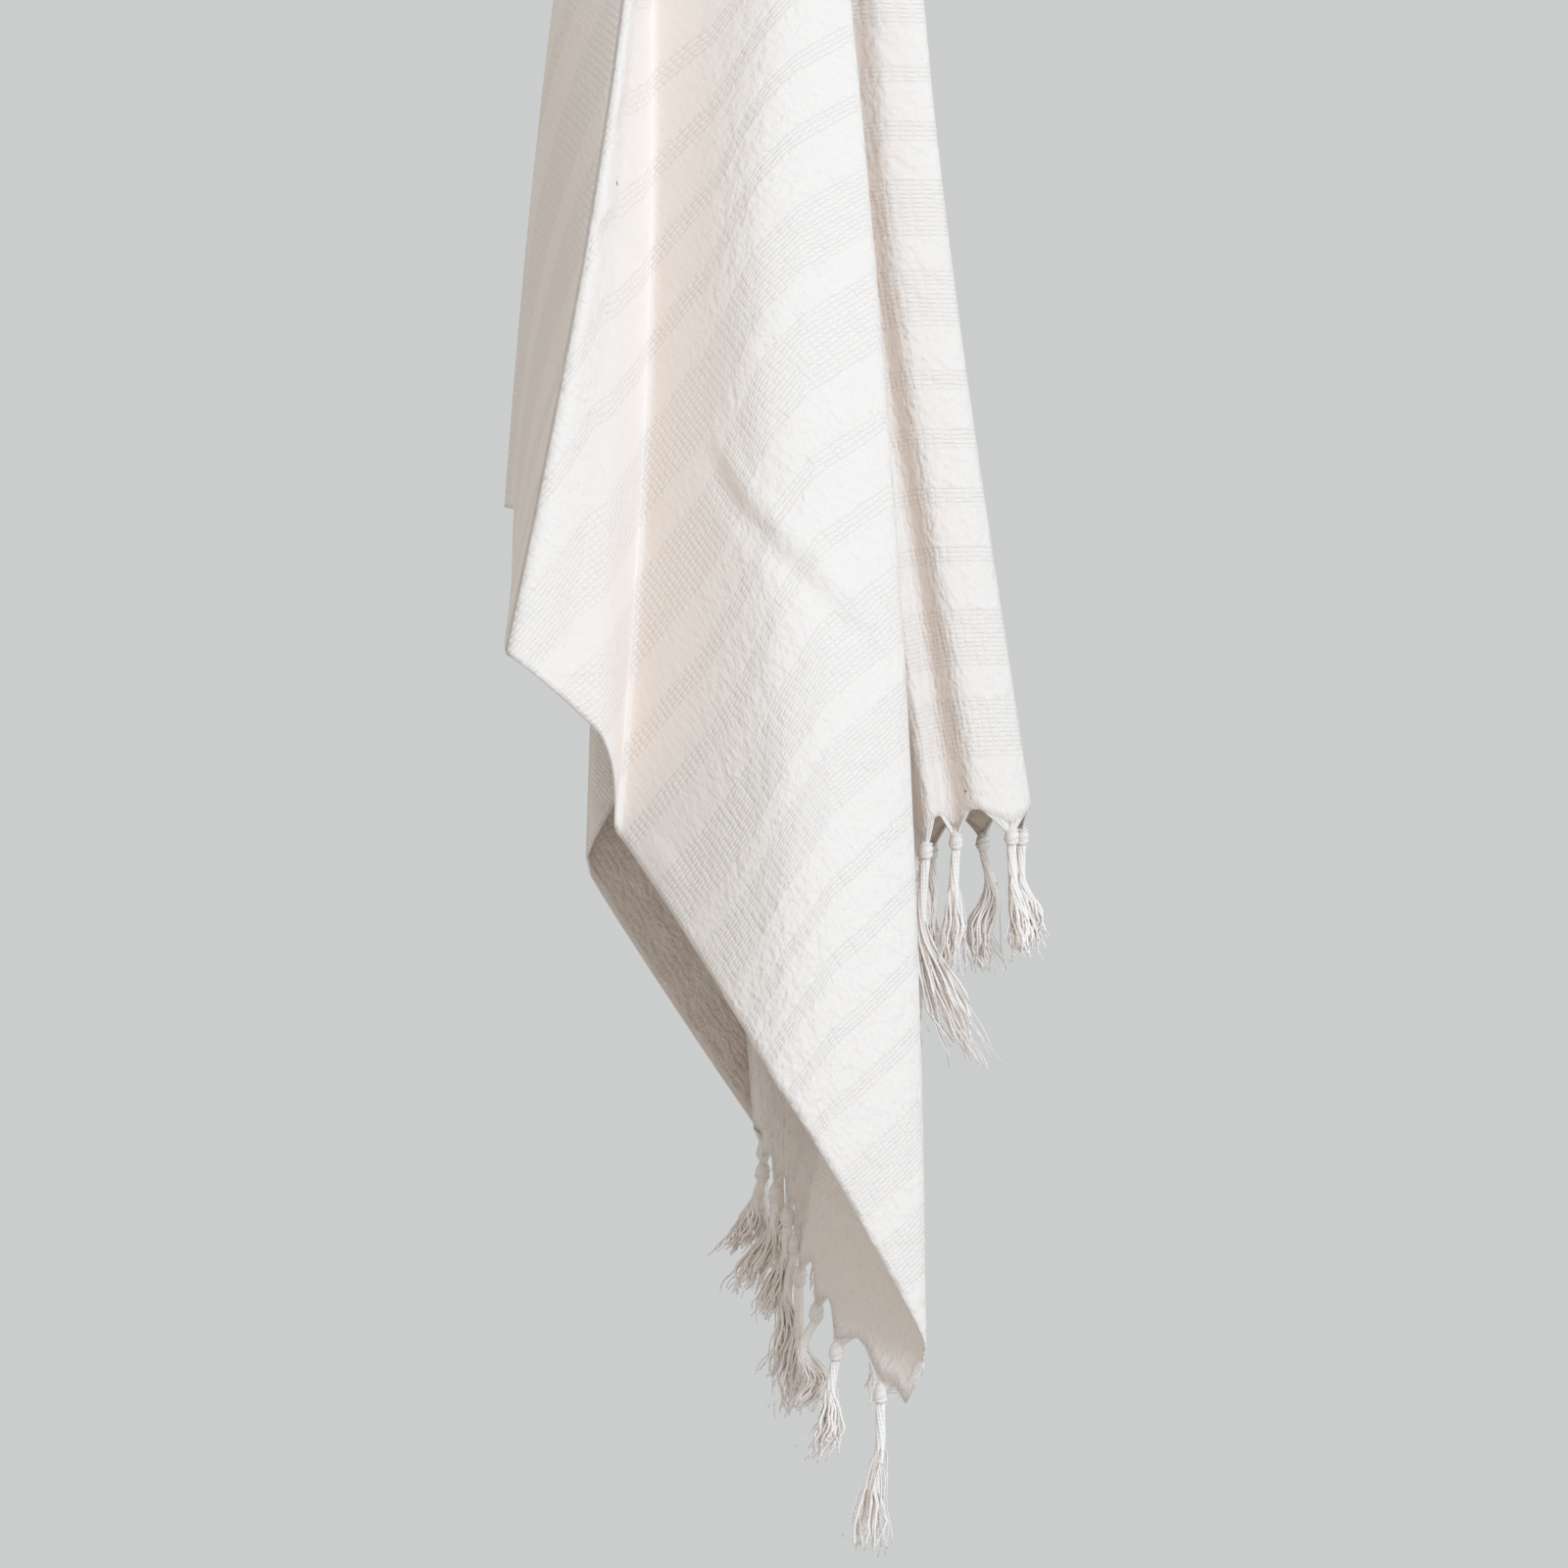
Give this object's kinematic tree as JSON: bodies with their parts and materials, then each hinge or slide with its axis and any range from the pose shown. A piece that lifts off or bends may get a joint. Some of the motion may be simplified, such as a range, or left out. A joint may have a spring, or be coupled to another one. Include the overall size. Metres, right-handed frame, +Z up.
{
  "type": "hammam towel",
  "caption": "Cotton hammam towel in a banded basket weave with knotted, frayed tassels along both short ends, hanging in folds from one point.",
  "frame": {"origin": "the point from which the towel hangs, at the top of the cloth", "axes": "+Z up, +X to the right as the front is seen, -Y towards the viewer of the front"},
  "size_m": [0.2997, 0.3671, 1.126],
  "materials": {
    "cotton_cloth": "matt woven cotton, undyed cream",
    "cotton_yarn": "matt twisted cotton yarn, undyed cream"
  },
  "bodies": {
    "root": {"towel_cloth": "cotton_cloth", "tassel_short_01": "cotton_yarn", "tassel_short_02": "cotton_yarn", "tassel_short_03": "cotton_yarn", "tassel_short_04": "cotton_yarn", "tassel_short_05": "cotton_yarn", "tassel_short_06": "cotton_yarn", "tassel_short_07": "cotton_yarn", "tassel_short_08": "cotton_yarn", "tassel_short_09": "cotton_yarn", "tassel_short_10": "cotton_yarn", "tassel_short_11": "cotton_yarn", "tassel_short_12": "cotton_yarn", "tassel_short_13": "cotton_yarn", "tassel_short_14": "cotton_yarn", "tassel_short_15": "cotton_yarn", "tassel_short_16": "cotton_yarn", "tassel_short_17": "cotton_yarn", "tassel_short_18": "cotton_yarn", "tassel_short_19": "cotton_yarn", "tassel_short_20": "cotton_yarn", "tassel_short_21": "cotton_yarn", "tassel_short_22": "cotton_yarn", "tassel_long_01": "cotton_yarn", "tassel_long_02": "cotton_yarn", "tassel_long_03": "cotton_yarn", "tassel_long_04": "cotton_yarn", "tassel_long_05": "cotton_yarn", "tassel_long_06": "cotton_yarn", "tassel_long_07": "cotton_yarn", "tassel_long_08": "cotton_yarn", "tassel_long_09": "cotton_yarn", "tassel_long_10": "cotton_yarn", "tassel_long_11": "cotton_yarn", "tassel_long_12": "cotton_yarn", "tassel_long_13": "cotton_yarn", "tassel_long_14": "cotton_yarn", "tassel_long_15": "cotton_yarn", "tassel_long_16": "cotton_yarn", "tassel_long_17": "cotton_yarn", "tassel_long_18": "cotton_yarn", "tassel_long_19": "cotton_yarn", "tassel_long_20": "cotton_yarn", "tassel_long_21": "cotton_yarn", "tassel_long_22": "cotton_yarn"}
  },
  "joints": []
}
